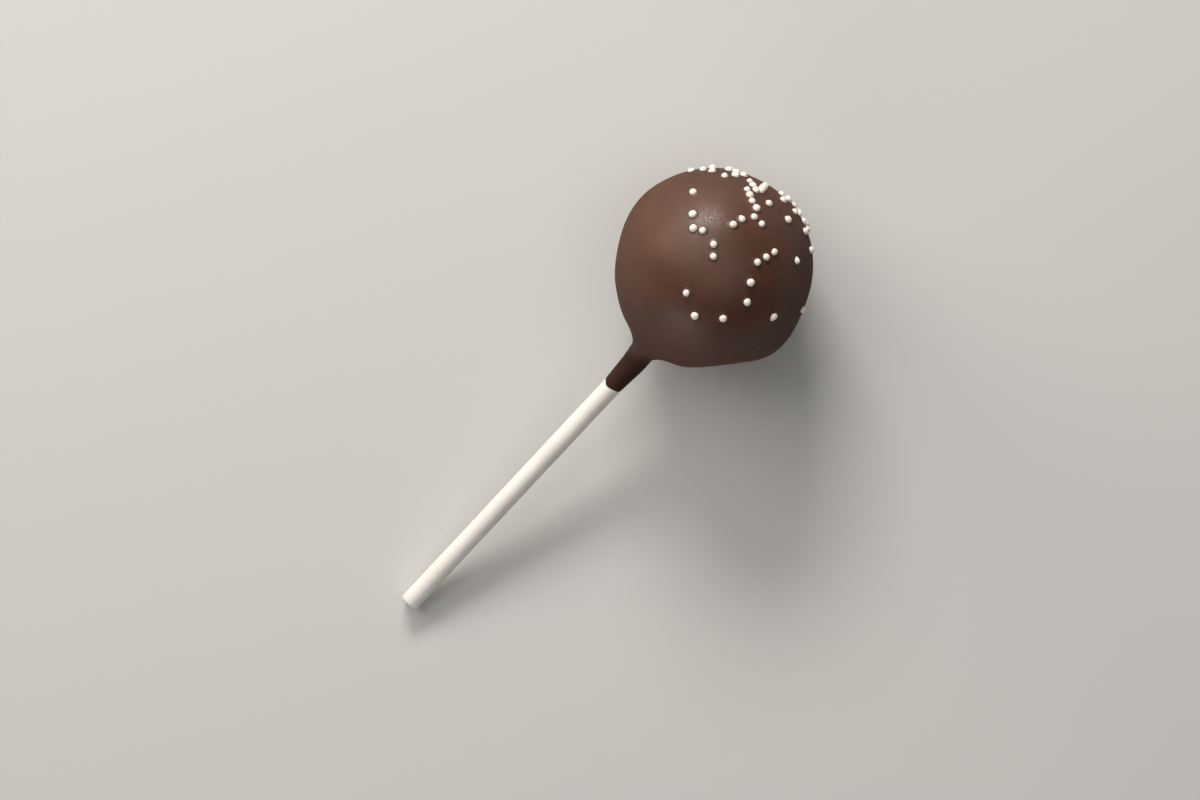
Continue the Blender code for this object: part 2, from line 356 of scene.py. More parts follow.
def swell(directions):
    """How far the coating stands out of the true ball, for an array of ways from its centre."""
    ridge_polar, ridge_height, ridge_width = SHOULDER_RIDGE
    polar = np.degrees(np.arccos(np.clip(directions[:, 0], -1.0, 1.0)))
    height = ridge_height * bell(polar - ridge_polar, ridge_width)
    for place_polar, place_azimuth, lump, width in SWELLS:
        off = degrees_between(directions, direction_of(place_polar, place_azimuth))
        height += lump * bell(off, width)
    return height


print(len(SWELLS), "swells and hollows")

# %% The pearls of the upper side
PEARL_RADIUS = 0.78 * MM
PEARL_SPREAD = 0.09  # of the radius, up or down
PEARL_PROUD = 0.1  # of the radius, from the skin up to the pearl's middle
PEARL_GAP = 0.04 * MM
# Polar angle and azimuth of each.
LONE_PEARLS = (
    (24, 6),
    (24, -30),
    (25, -76),
    (24, -116),
    (36, -82),
    (46, -50),
    (41, -4),
    (60, 50),
    (68, 34),
    (81, -50),
    (71, -80),
    (99, -24),
)
# Each string runs from one such place to another, and holds this many pearls.
PEARL_STRINGS = (
    ((56, 85), (49, 82), 2),
    ((44, 89), (44, 76), 2),
    ((34.5, 87), (25.5, 81), 3),
    ((31, 69), (38, 63), 2),
    ((11.5, 78), (20.5, 33), 4),
    ((23, 59), (24, 34), 3),
    ((30, 36), (33.5, 19), 3),
    ((35, 10), (41, 5), 2),
    ((48, 10), (54.5, 11), 2),
    ((73, 26), (70, 21), 2),
    ((71, 10), (76, 5), 2),
    ((3, 165), (17, 232), 4),
    ((7, -19), (12.5, -68), 2),
    ((14.5, -99), (24.5, -97), 3),
    ((50, -25), (61.5, -18), 3),
    ((73, -22), (83, -28), 2),
    ((102, 2), (109, -11), 2),
)


def skin_place(direction):
    """The point of the ball's skin this way from the ball's centre, in the pop's frame."""
    return BALL_CENTRE + direction * (BALL_RADIUS + swell(np.array([direction]))[0])


def string_between(start, end, count):
    """Evenly spaced ways from the ball's centre, along the great circle from start to end."""
    first, last = direction_of(*start), direction_of(*end)
    axis, whole_turn = first.cross(last).normalized(), first.angle(last)
    return [Quaternion(axis, whole_turn * i / (count - 1)) @ first for i in range(count)]


upper_directions = [direction_of(*place) for place in LONE_PEARLS]
for pearl_string in PEARL_STRINGS:
    upper_directions += string_between(*pearl_string)
upper_pearls = [skin_place(direction) for direction in upper_directions]
print(len(upper_pearls), "pearls on the upper side")

# %% The pearls of the under side
LOWER_PEARLS = 50
UNDER_SIDE_FROM = math.radians(14)  # below the ball's widest line
CROWN_CROWDING = 1.6  # above 1 draws more of them to the crown
FARTHEST_POLAR = 112
LONGEST_STRING = 4
STRING_STEPS = (math.radians(5), math.radians(10))  # least and most from one pearl to the next
STRING_BEND = math.radians(50)  # most at a pearl, to either side
CLEAR_OF_GROUND = 0.05 * MM
SEED = 11


def drawn_string(chance):
    """The ways to one to a few pearls in a bent row, its place and heading drawn at random."""
    polar = FARTHEST_POLAR * chance.random() ** CROWN_CROWDING
    direction = direction_of(polar, chance.uniform(0, 360))
    axis = Quaternion(direction, chance.uniform(0, 2 * math.pi)) @ direction.orthogonal().normalized()
    string = [direction]
    for _ in range(chance.randint(0, LONGEST_STRING - 1)):
        direction = Quaternion(axis, chance.uniform(*STRING_STEPS)) @ direction
        axis = Quaternion(direction, chance.uniform(-STRING_BEND, STRING_BEND)) @ axis
        string.append(direction)
    return string


def fits(place, taken, down):
    """Whether a pearl here is on the under side, clear of the others and off the table."""
    reach = place - BALL_CENTRE
    lowest = reach.dot(down) + PEARL_RADIUS * (1 + PEARL_SPREAD + PEARL_PROUD)
    is_under = reach.normalized().dot(down) > math.sin(UNDER_SIDE_FROM)
    is_off_ground = lowest < CENTRE_HEIGHT - CLEAR_OF_GROUND
    nearest = 2 * PEARL_RADIUS + PEARL_GAP
    return is_under and is_off_ground and all((place - other).length > nearest for other in taken)


chance = random.Random(SEED)
down = Vector((-math.sin(lean), 0.0, -math.cos(lean)))
lower_pearls = []
while len(lower_pearls) < LOWER_PEARLS:
    for direction in drawn_string(chance):
        place = skin_place(direction)
        if fits(place, upper_pearls + lower_pearls, down):
            lower_pearls.append(place)
pearl_places = upper_pearls + lower_pearls[:LOWER_PEARLS]
print(len(pearl_places), "pearls in all")

# %% Each pearl's size and turn
chance = random.Random(SEED)
pearls = []
for place in pearl_places:
    radius = PEARL_RADIUS * (1 + chance.uniform(-PEARL_SPREAD, PEARL_SPREAD))
    outward = (place - BALL_CENTRE).normalized()
    spin = chance.uniform(0, 2 * math.pi)
    middle = place + outward * radius * PEARL_PROUD
    pearls.append((middle, outward, radius, spin))
sizes = [2 * radius / MM for _, _, radius, _ in pearls]
print(f"pearls of {min(sizes):.2f} to {max(sizes):.2f} mm")

# %% [markdown]
# ## The coating's outline
#
# Melted chocolate runs off the upturned ball along the stick, and sets there as a neck: a round fillet
# that narrows to a thin collar, and ends in a low lip on the paper. All of it is round about the stick,
# so its outline is drawn once, from the crown to the lip, and turned. The ball is an arc and the fillet
# is one Bezier curve that leaves the arc in its own direction, so no crease shows between them. At its
# end the outline dives under the paper's surface, so that the coating closes without a gap.

# %% Draw the outline
SHOULDER_POLAR = math.radians(144)  # where the round of the ball ends, from the crown
SHOULDER_PULL = 5.9 * MM  # how far the round carries on before it turns in
THROAT_PLACE = -23.4 * MM
THROAT_RADIUS = 2.7 * MM
THROAT_PULL = 1.3 * MM
LIP_PLACE = -32.2 * MM
LIP_RADIUS = 2.07 * MM
LIP_LENGTH = 0.16 * MM
BURIED_RADIUS = 1.85 * MM
BALL_RINGS = 96
THROAT_RINGS = 24
COLLAR_RINGS = 18
LIP_RINGS = 5


def bezier(start, start_handle, end_handle, end, share):
    """A point of one cubic curve, share of the way along."""
    rest = 1 - share
    weights = (rest**3, 3 * rest**2 * share, 3 * rest * share**2, share**3)
    corners = (start, start_handle, end_handle, end)
    return tuple(sum(weight * corner[i] for weight, corner in zip(weights, corners)) for i in range(2))


def coating_outline():
    """(place, radius) pairs from the first ring below the crown to the buried end of the lip."""
    polars = [SHOULDER_POLAR * ring / BALL_RINGS for ring in range(1, BALL_RINGS + 1)]
    points = [(BALL_RADIUS * math.cos(polar), BALL_RADIUS * math.sin(polar)) for polar in polars]
    shoulder = points[-1]
    heading = (-math.sin(SHOULDER_POLAR), math.cos(SHOULDER_POLAR))
    shoulder_handle = tuple(start + SHOULDER_PULL * way for start, way in zip(shoulder, heading))
    throat = (THROAT_PLACE, THROAT_RADIUS)
    throat_handle = (THROAT_PLACE + THROAT_PULL, THROAT_RADIUS)
    for ring in range(1, THROAT_RINGS + 1):
        points.append(bezier(shoulder, shoulder_handle, throat_handle, throat, ring / THROAT_RINGS))
    for ring in range(1, COLLAR_RINGS + 1):
        share = ring / COLLAR_RINGS
        place = THROAT_PLACE + (LIP_PLACE - THROAT_PLACE) * share
        points.append((place, THROAT_RADIUS + (LIP_RADIUS - THROAT_RADIUS) * share))
    for ring in range(1, LIP_RINGS + 1):
        angle = math.pi / 2 * ring / LIP_RINGS
        place = LIP_PLACE - LIP_LENGTH * math.sin(angle)
        points.append((place, BURIED_RADIUS + (LIP_RADIUS - BURIED_RADIUS) * math.cos(angle)))
    return points


outline = coating_outline()
print(len(outline), "rings from crown to lip")

# %% [markdown]
# ## A skin that is fine where it has to be
#
# The outline is turned into rings of faces. Faces of about half a millimetre are fine enough for the
# ball, but not for the thin rim of chocolate that climbs each pearl, or for a pinhole. A skin that is
# fine all over would cost half a million faces, so only the faces near those places are split, twice,
# and the new points are put back on the round. Subdividing with a modifier would refine everything,
# and a Boolean union would leave a hard line where there should be a soft rim.

# %% Pinholes
PINHOLES = 9
PINHOLE_RADII = (0.16 * MM, 0.3 * MM)
PINHOLE_SHARE = 0.4  # its depth, as a share of its radius
PINHOLE_REACH = 2.2  # of its radius
PINHOLE_POLARS = (20, 140)  # least and most, in degrees from the crown
CLEAR_OF_PEARLS = math.radians(8)
KNOWN_PINHOLE = (96.9, 5.5, 0.3 * MM)  # the little crater beside the two pearls near the neck

chance = random.Random(SEED)
pinholes = [(direction_of(*KNOWN_PINHOLE[:2]), KNOWN_PINHOLE[2])]
while len(pinholes) < PINHOLES:
    direction = direction_of(chance.uniform(*PINHOLE_POLARS), chance.uniform(0, 360))
    is_clear = all(direction.angle(other) > CLEAR_OF_PEARLS for other in upper_directions)
    if is_clear:
        pinholes.append((direction, chance.uniform(*PINHOLE_RADII)))
print(len(pinholes), "pinholes")

# %% Turn the outline and split the faces near the pearls
ROUND_STEPS = 200
PEARL_RIM_REACH = 1.35 * MM  # from a pearl's middle, along the skin
FINE_STEP = 0.24 * MM
SPLITS = 2


def turned_skin(rings, steps):
    """A closed mesh of (place, radius) rings about X, with a point on the axis at both ends."""
    skin = bmesh.new()
    crown = skin.verts.new((BALL_RADIUS, 0.0, 0.0))
    turns = [2 * math.pi * step / steps for step in range(steps)]
    rows = []
    for place, radius in rings:
        circle = [(place, radius * math.sin(turn), radius * math.cos(turn)) for turn in turns]
        rows.append([skin.verts.new(point) for point in circle])
    end = skin.verts.new((rings[-1][0], 0.0, 0.0))
    for step in range(steps):
        following = (step + 1) % steps
        skin.faces.new((crown, rows[0][following], rows[0][step]))
        skin.faces.new((end, rows[-1][step], rows[-1][following]))
        for upper, lower in zip(rows, rows[1:]):
            skin.faces.new((upper[step], upper[following], lower[following], lower[step]))
    bmesh.ops.recalc_face_normals(skin, faces=skin.faces)
    return skin


def split_near(skin, directions, reaches):
    """Splits the long edges near these ways from the centre, and rounds the new points out."""
    points = np.array([vertex.co for vertex in skin.verts])
    ways = points / np.linalg.norm(points, axis=1)[:, None]
    closeness = ways @ np.array(directions).T - np.cos(np.array(reaches) / BALL_RADIUS)
    near = closeness.max(axis=1) > 0
    skin.verts.index_update()
    edges = [edge for edge in skin.edges if any(near[vertex.index] for vertex in edge.verts)]
    edges = [edge for edge in edges if edge.calc_length() > FINE_STEP]
    made = bmesh.ops.subdivide_edges(skin, edges=edges, cuts=1, use_grid_fill=True)
    for part in made["geom_inner"]:
        if isinstance(part, bmesh.types.BMVert):
            part.co *= BALL_RADIUS / part.co.length


skin = turned_skin(outline, ROUND_STEPS)
fine_directions = [outward for _, outward, _, _ in pearls] + [way for way, _ in pinholes]
fine_reaches = [PEARL_RIM_REACH] * len(pearls) + [PINHOLE_REACH * size for _, size in pinholes]
for _ in range(SPLITS):
    split_near(skin, fine_directions, fine_reaches)
print(len(skin.verts), "points,", len(skin.faces), "faces")

# %% [markdown]
# ## The skin's relief
#
# Each point of the turned skin is moved in the order in which the real coating got its shape. First come
# the swells and hollows of the hand-rolled cake, then the faint waves that thick chocolate leaves, then
# the rims round the pearls and the pinholes. The ball moves off the stick's line, and the lip gets the
# uneven tongue of the last drop that ran down. It is all plain arithmetic on arrays of points, which is
# exact and quick. A displacement modifier would do the waves, but not the rims.

# %% Move the points
SWELLS_FADE = (-21.8 * MM, -18.4 * MM)  # places between which the swells grow from none to the whole
OFFSET_FADE = (-27.5 * MM, -14.0 * MM)
TONGUE = 0.7 * MM  # how much further the lip runs on the upper side, and less far below
LIP_RIPPLE = 0.11 * MM
LIP_RIPPLES = ((1.0, 2, 1.1), (0.7, 3, -0.4), (0.4, 5, 0.0))  # share, how many round the lip, and turn
LEAST_RADIUS = 0.1 * MM  # nothing is divided by less than this
WAVES = ((0.07 * MM, 11 * MM), (0.022 * MM, 4.2 * MM))  # height and length
COLLAR_WAVES = 0.25  # the share of the waves' height that is left on the collar
RIM_HEIGHT = 0.16 * MM
RIM_WIDTH = 0.24 * MM
RIM_START = (0.5, 0.95)  # of the pearl's radius, where the climb grows from none to the whole
RIM_FADE = 0.7  # of the rim's reach, where it starts to fade out
CRATER_WIDTH = 0.55  # of the pinhole's radius
CRATER_EDGE = (0.25, 1.3, 0.3)  # share of the height, distance and width of its raised edge


def waves(points):
    """The faint unevenness of thick chocolate, from two sizes of smooth noise."""
    height = np.zeros(len(points))
    for size, length in WAVES:
        height += [size * noise.noise(Vector(point) / length) for point in points]
    return height


def pearl_rims(points, ways):
    """How far the chocolate climbs at each point. Under a pearl it stays down."""
    height = np.zeros(len(points))
    skin_points = points + ways * swell(ways)[:, None]
    for middle, outward, radius, _ in pearls:
        reach = skin_points - np.array(middle - BALL_CENTRE)
        along = reach @ np.array(outward)
        across = np.sqrt(np.maximum((reach**2).sum(axis=1) - along**2, 0.0))
        is_near = np.linalg.norm(reach, axis=1) < PEARL_RIM_REACH
        climb = RIM_HEIGHT * np.exp(-np.maximum(across - radius, 0.0) / RIM_WIDTH)
        climb *= smooth_step(across, RIM_START[0] * radius, RIM_START[1] * radius)
        climb *= 1 - smooth_step(across, RIM_FADE * PEARL_RIM_REACH, PEARL_RIM_REACH)
        height = np.maximum(height, np.where(is_near, climb, 0.0))
    return height


def pinhole_depths(ways):
    """Small round craters where bubbles burst, each with a faint raised edge."""
    edge_height, edge_place, edge_width = CRATER_EDGE
    depth = np.zeros(len(ways))
    for way, size in pinholes:
        off = np.radians(degrees_between(ways, way)) * BALL_RADIUS / size
        crater = bell(off, CRATER_WIDTH) - edge_height * bell(off - edge_place, edge_width)
        depth += PINHOLE_SHARE * size * crater
    return depth


def coated(points):
    """Where the points of the turned skin go."""
    place = points[:, 0]
    distance = np.linalg.norm(points, axis=1)
    ways = points / distance[:, None]
    on_ball = smooth_step(place, *SWELLS_FADE)
    height = swell(ways) * on_ball + waves(points) * (COLLAR_WAVES + (1 - COLLAR_WAVES) * on_ball)
    height += pearl_rims(points, ways) - pinhole_depths(ways)
    moved = points + ways * height[:, None]
    moved[:, 1] += BALL_OFFSET * smooth_step(place, *OFFSET_FADE)
    radius = np.maximum(np.hypot(points[:, 1], points[:, 2]), LEAST_RADIUS)
    on_collar = smooth_step(-place, -THROAT_PLACE, -LIP_PLACE)
    azimuth = np.arctan2(points[:, 1], points[:, 2])
    ripple = sum(share * np.sin(count * azimuth + turn) for share, count, turn in LIP_RIPPLES)
    moved[:, 0] -= on_collar * (TONGUE * points[:, 2] / radius + LIP_RIPPLE * ripple)
    return moved


def flat_spot(piece):
    """Presses what is below the table up to it."""
    for vertex in piece.data.vertices:
        vertex.co.z = max(vertex.co.z, 0.0)


turned_points = np.array([vertex.co for vertex in skin.verts])
skin.verts.index_update()
skin_faces = [[vertex.index for vertex in face.verts] for face in skin.faces]
skin.free()
coated_points = coated(turned_points)
print(f"the skin moved by up to {np.abs(coated_points - turned_points).max() / MM:.2f} mm")

# %% [markdown]
# ## The chocolate's finish
#
# Set chocolate is satin: smooth enough for a soft highlight, never a mirror. Up close it is smooth and
# matt side by side, in spots no bigger than a grain of salt, so its highlight has a bright middle and a
# wide faint edge. Very fine noise on the roughness does that. Any smooth shader shines most where it is
# seen edge on, but the real coating stays dull there, so the roughness also rises with the slant. Its
# brown isn't even either. Cocoa butter leaves redder and duller clouds some millimetres wide, and a
# larger noise mixes three browns for them. The thin collar on the stick is quite matt, and the collar
# and the narrow end of the neck are painted a darker, redder brown, which is painted shade. A fine grain
# comes on top as bump. One even roughness and one brown would look like painted plastic.

# %% Make the chocolate
DULL_BROWN = (0.0710, 0.0315, 0.0200, 1.0)
MIDDLE_BROWN = (0.0830, 0.0355, 0.0213, 1.0)
RED_BROWN = (0.0985, 0.0405, 0.0227, 1.0)
# Painted shade: the collar and the narrow end of the neck keep this share of the ball's browns, fading
# in between the two places along the stick below.
COLLAR_PAINTED_SHADE = (0.40, 0.31, 0.24, 1.0)  # of the ball's red, green and blue
COLLAR_FADE = (-26.0 * MM, -21.5 * MM)  # along the stick, all collar and all ball
CLOUDS_A_METRE = 95.0
GRAINS_A_METRE = 900.0
SPOTS_A_METRE = 3500.0
GRAIN_TINT = 0.22  # how much the grain changes the browns

chocolate, tree = new_finish("dark_chocolate")
place = add_node(tree, "ShaderNodeTexCoord")
clouds = add_node(
    tree,
    "ShaderNodeTexNoise",
    {"Vector": place.outputs["Object"], "Scale": CLOUDS_A_METRE, "Detail": 4.0, "Roughness": 0.55},
)
grain = add_node(
    tree,
    "ShaderNodeTexNoise",
    {"Vector": place.outputs["Object"], "Scale": GRAINS_A_METRE, "Detail": 5.0, "Roughness": 0.6},
)
spots = add_node(
    tree,
    "ShaderNodeTexNoise",
    {"Vector": place.outputs["Object"], "Scale": SPOTS_A_METRE, "Detail": 2.0},
)
browns = add_ramp(
    tree, clouds.outputs["Fac"], [(0.32, DULL_BROWN), (0.5, MIDDLE_BROWN), (0.68, RED_BROWN)]
)
speckled = add_node(
    tree,
    "ShaderNodeMix",
    {"Factor": GRAIN_TINT, "A": browns.outputs["Color"], "B": grain.outputs["Color"]},
    data_type="RGBA",
    blend_type="SOFT_LIGHT",
)
in_pop = add_node(
    tree,
    "ShaderNodeMapping",
    {
        "Vector": place.outputs["Object"],
        "Location": (-CENTRE_HEIGHT * math.sin(lean), 0.0, 0.0),
        "Rotation": (0.0, lean, 0.0),
    },
)
along_stick = add_node(tree, "ShaderNodeSeparateXYZ", {"Vector": in_pop.outputs["Vector"]})
on_collar = add_node(
    tree,
    "ShaderNodeMapRange",
    {"Value": along_stick.outputs["X"], "From Min": COLLAR_FADE[1], "From Max": COLLAR_FADE[0]},
    interpolation_type="SMOOTHSTEP",
)
# Painted shade: the browns are multiplied down to a darker, redder brown on the collar and the narrow
# end of the neck.
shaded = add_node(
    tree,
    "ShaderNodeMix",
    {
        "Factor": in_use(on_collar.outputs, "Result"),
        "A": in_use(speckled.outputs, "Result"),
        "B": COLLAR_PAINTED_SHADE,
    },
    data_type="RGBA",
    blend_type="MULTIPLY",
)
print("the collar keeps", COLLAR_PAINTED_SHADE[0], "of the ball's red")

# %% Let it shine softly
SPOT_EDGES = (0.38, 0.62)  # of the noise: smooth below the first, matt above the second
SATIN_ROUGHNESS = (0.30, 0.56)  # of the smooth spots and of the matt ones
FULLY_MATT = 1.0
CHOCOLATE_IOR = 1.42
GRAIN_BUMP = (0.25, 0.03 * MM)  # strength and height

satin = add_node(
    tree,
    "ShaderNodeMapRange",
    {
        "Value": spots.outputs["Fac"],
        "From Min": SPOT_EDGES[0],
        "From Max": SPOT_EDGES[1],
        "To Min": SATIN_ROUGHNESS[0],
        "To Max": SATIN_ROUGHNESS[1],
    },
)
slant = add_node(tree, "ShaderNodeLayerWeight", {"Blend": 0.5})
edge_on = add_node(
    tree,
    "ShaderNodeMapRange",
    {"Value": slant.outputs["Facing"]},
    interpolation_type="SMOOTHSTEP",
)
matt_share = add_node(
    tree,
    "ShaderNodeMath",
    {"Value": in_use(edge_on.outputs, "Result")},
    operation="MAXIMUM",
)
# Both of this node's inputs are called Value, so the second one is linked by its place.
tree.links.new(in_use(on_collar.outputs, "Result"), matt_share.inputs[1])
roughness = add_node(
    tree,
    "ShaderNodeMix",
    {"Factor": matt_share.outputs["Value"], "A": in_use(satin.outputs, "Result"), "B": FULLY_MATT},
)
fine_bump = add_node(
    tree,
    "ShaderNodeBump",
    {"Height": grain.outputs["Fac"], "Strength": GRAIN_BUMP[0], "Distance": GRAIN_BUMP[1]},
)
shader = add_node(
    tree,
    "ShaderNodeBsdfPrincipled",
    {
        "Base Color": in_use(shaded.outputs, "Result"),
        "Roughness": in_use(roughness.outputs, "Result"),
        "Normal": fine_bump.outputs["Normal"],
        "IOR": CHOCOLATE_IOR,
    },
)
add_node(tree, "ShaderNodeOutputMaterial", {"Surface": shader.outputs["BSDF"]})
print("material:", chocolate.name)

# %% Lay the coating down
coating = add_piece("chocolate_coat", coated_points, skin_faces, chocolate)
flat_spot(coating)
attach(coating, "root")
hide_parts("cake_ball")
print(f"coating: {triangles_of(coating)} triangles")

# %% [markdown]
# ## The sugar pearls
#
# A sugar pearl is grown by tumbling, so it is nearly round but never quite: a little egg-shaped, with
# shallow flats, and now and then with a nub where two grew together. One fine ball is shaped anew for
# each pearl with its own stretch, its own smooth noise and perhaps a nub. All of them become one mesh,
# which is lighter than a hundred objects and exports whole, as instances would not.

# %% Shape a pearl
PEARL_FINENESS = 4  # steps of an icosphere, which make 1,280 triangles
PEARL_STRETCH = 0.05
PEARL_FLATS = ((0.05, 1.4), (0.018, 4.5))  # height as a share of the radius, and noise scale
NUB_CHANCE = 0.12
NUB_HEIGHT = 0.32
NUB_WIDTH = 15
NUB_POLARS = (40, 80)  # least and most, in degrees from the pearl's own X axis
NOISE_SPAN = 100  # each pearl takes its noise from its own place within this
NUBBED_PEARL = 5  # this one's nub points to the top of the picture


def unit_ball(fineness):
    """Points and faces of an even ball of radius 1."""
    ball = bmesh.new()
    bmesh.ops.create_icosphere(ball, subdivisions=fineness, radius=1.0)
    points = np.array([vertex.co for vertex in ball.verts])
    faces = np.array([[vertex.index for vertex in face.verts] for face in ball.faces])
    ball.free()
    return points, faces


def shaped_pearl(points, chance, nub_way):
    """The even ball, stretched, flattened here and there, and with a nub if it has one."""
    noise_place = Vector([chance.uniform(0, NOISE_SPAN) for _ in range(3)])
    height = np.zeros(len(points))
    for share, scale in PEARL_FLATS:
        height += [share * noise.noise(Vector(point) * scale + noise_place) for point in points]
    if nub_way is not None:
        height += NUB_HEIGHT * bell(degrees_between(points, nub_way), NUB_WIDTH)
    stretch = np.array([1 + chance.uniform(-PEARL_STRETCH, PEARL_STRETCH) for _ in range(3)])
    return points * (1 + height)[:, None] * stretch


def picture_to_pop(direction):
    """A level direction over the table, seen in the pop's own frame."""
    leant = Quaternion((0.0, 1.0, 0.0), lean)
    return leant @ direction


ball_points, ball_faces = unit_ball(PEARL_FINENESS)
print(len(ball_points), "points a pearl")

# %% [markdown]
# ## The sugar's finish
#
# A sugar pearl is off-white and nearly matt, and light goes a little way into it, which softens its
# shaded side. Subsurface scattering does that, over less than a millimetre. Light leaks out of a ball
# this small and greys it, so half of the shader stays plain. The white isn't even: a wide noise mixes
# cream and sugar white, so that neighbours differ, and a very fine one roughens the skin as bump, for
# the sugar's crystals. One plain white would look like plastic beads.

# %% Make the sugar
CREAM = (0.81, 0.745, 0.66, 1.0)
SUGAR_WHITE = (0.89, 0.835, 0.76, 1.0)
TINTS_A_METRE = 260.0
CRYSTALS_A_METRE = 3800.0
CRYSTAL_BUMP = (0.3, 0.02 * MM)  # strength and height
SUGAR_ROUGHNESS = 0.52
SUGAR_SCATTER = 0.5  # the share of the shader that light goes into
SUGAR_REACH = 0.8 * MM  # how far it goes in
SUGAR_REACH_BY_COLOUR = (1.0, 0.9, 0.8)  # red farthest, then green, then blue

sugar, tree = new_finish("sugar_pearl")
place = add_node(tree, "ShaderNodeTexCoord")
tint = add_node(
    tree,
    "ShaderNodeTexNoise",
    {"Vector": place.outputs["Object"], "Scale": TINTS_A_METRE, "Detail": 2.0},
)
crystals = add_node(
    tree,
    "ShaderNodeTexNoise",
    {"Vector": place.outputs["Object"], "Scale": CRYSTALS_A_METRE, "Detail": 3.0, "Roughness": 0.6},
)
whites = add_ramp(tree, tint.outputs["Fac"], [(0.3, CREAM), (0.62, SUGAR_WHITE)])
crystal_bump = add_node(
    tree,
    "ShaderNodeBump",
    {"Height": crystals.outputs["Fac"], "Strength": CRYSTAL_BUMP[0], "Distance": CRYSTAL_BUMP[1]},
)
shader = add_node(
    tree,
    "ShaderNodeBsdfPrincipled",
    {
        "Base Color": whites.outputs["Color"],
        "Roughness": SUGAR_ROUGHNESS,
        "Normal": crystal_bump.outputs["Normal"],
        "Subsurface Weight": SUGAR_SCATTER,
        "Subsurface Radius": SUGAR_REACH_BY_COLOUR,
        "Subsurface Scale": SUGAR_REACH,
    },
)
add_node(tree, "ShaderNodeOutputMaterial", {"Surface": shader.outputs["BSDF"]})
print("material:", sugar.name)

# %% Set every pearl in its place
chance = random.Random(SEED)
pearl_points, pearl_faces = [], []
for number, (middle, outward, radius, spin) in enumerate(pearls):
    upright = outward.to_track_quat("Z", "Y") @ Euler((0.0, 0.0, spin)).to_quaternion()
    nub_way = None
    if number == NUBBED_PEARL:
        nub_way = upright.inverted() @ picture_to_pop(picture_up)
    elif chance.random() < NUB_CHANCE:
        nub_way = direction_of(chance.uniform(*NUB_POLARS), chance.uniform(0, 360))
    shaped = shaped_pearl(ball_points, chance, nub_way)
    turned = shaped @ np.array(upright.to_matrix()).T
    pearl_points.append(turned * radius + np.array(middle))
    pearl_faces.append(ball_faces + number * len(ball_points))
sugar_pearls = add_piece(
    "sugar_pearls", np.concatenate(pearl_points), np.concatenate(pearl_faces).tolist(), sugar
)
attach(sugar_pearls, "root")
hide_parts("cake_ball")
print(f"pearls: {triangles_of(sugar_pearls)} triangles")

# %% [markdown]
# ## The paper stick
#
# Such a stick is one strip of paper, rolled up tight and glued. So its side has a seam, where the last
# turn ends a paper's thickness above the one before, and its cut ends show the turns as a fine spiral.
# A cylinder has neither. Here the ring of points starts at the seam and ends there a little lower, which
# leaves the tiny step as a real face. The end faces are spirals of shallow ridges.

# %% Roll the stick
STICK_STEPS = 120
SIDE_RINGS = 70
EDGE_RINGS = 4
END_RINGS = 48
PAPER_STEP = 0.08 * MM
SEAM_AZIMUTH = math.radians(-118)  # low on the right
SEAM_DRIFT = math.radians(24)  # over the stick's length
LAYER_PITCH = 0.28 * MM
LAYER_DEPTH = 0.07 * MM
STICK_WAVE = (0.025 * MM, 14 * MM)  # height and length


def stick_outline():
    """(place, radius, share of the spiral relief) from the middle of the tip to the other end's."""
    last_radius = STICK_RADIUS - STICK_EDGE
    end = [(0.0, last_radius * (ring + 1) / END_RINGS, 1.0) for ring in range(END_RINGS)]
    edge = []
    for ring in range(1, EDGE_RINGS + 1):
        angle = math.pi / 2 * ring / EDGE_RINGS
        place = STICK_EDGE * (1 - math.cos(angle))
        edge.append((place, last_radius + STICK_EDGE * math.sin(angle), 1 - ring / EDGE_RINGS))
    near = end + edge
    straight = STICK_LENGTH - 2 * STICK_EDGE
    places = [STICK_EDGE + straight * ring / SIDE_RINGS for ring in range(1, SIDE_RINGS)]
    side = [(place, STICK_RADIUS, 0.0) for place in places]
    far = [(STICK_LENGTH - place, radius, relief) for place, radius, relief in reversed(near)]
    return near + side + far


def stick_ring(place, radius, relief):
    """The points of one ring, from the seam's upper side round to its lower side."""
    inward = 1 if place < STICK_LENGTH / 2 else -1
    seam = SEAM_AZIMUTH + SEAM_DRIFT * place / STICK_LENGTH
    ring = []
    for step in range(STICK_STEPS + 1):
        share = step / STICK_STEPS
        azimuth = seam + 2 * math.pi * share
        paper = PAPER_STEP * (0.5 - share) * radius / STICK_RADIUS
        turns = (radius + paper) / LAYER_PITCH + share
        depth = relief * LAYER_DEPTH * (0.5 - 0.5 * math.cos(2 * math.pi * turns))
        size, length = STICK_WAVE
        point = Vector((place, radius * math.sin(azimuth), radius * math.cos(azimuth)))
        reach = radius + paper + (1 - relief) * size * noise.noise(point / length)
        x = place - TIP_TO_BALL + inward * depth
        ring.append((x, reach * math.sin(azimuth), reach * math.cos(azimuth)))
    return ring


def stick_mesh():
    """Points and faces of the rolled stick, closed at both ends and along its seam."""
    rings = [stick_ring(*station) for station in stick_outline()]
    points = [point for ring in rings for point in ring]
    size = STICK_STEPS + 1
    faces = []
    for row in range(len(rings) - 1):
        for step in range(size):
            following = (step + 1) % size
            here, beside = row * size + step, row * size + following
            faces.append((here, here + size, beside + size, beside))
    tip_middle, far_middle = len(points), len(points) + 1
    points += [(-TIP_TO_BALL, 0.0, 0.0), (STICK_LENGTH - TIP_TO_BALL, 0.0, 0.0)]
    last = (len(rings) - 1) * size
    for step in range(size):
        following = (step + 1) % size
        faces.append((tip_middle, step, following))
        faces.append((far_middle, last + following, last + step))
    return np.array(points), faces


stick_points, stick_faces = stick_mesh()
print(f"{len(stick_points)} points, {STICK_RADIUS / LAYER_PITCH:.0f} turns of paper")

# %% [markdown]
# ## The paper's finish
#
# Rolled paper is white but not bright, and its fibres run along the stick. A noise that is drawn out
# that way shows them, as a faint change of colour and as bump. A wider noise mixes two whites, because
# no paper is quite even. A little light goes into paper too, so a small share of the shader scatters it.
# An image of paper would show as much, but it would need a file and its own unwrapping.

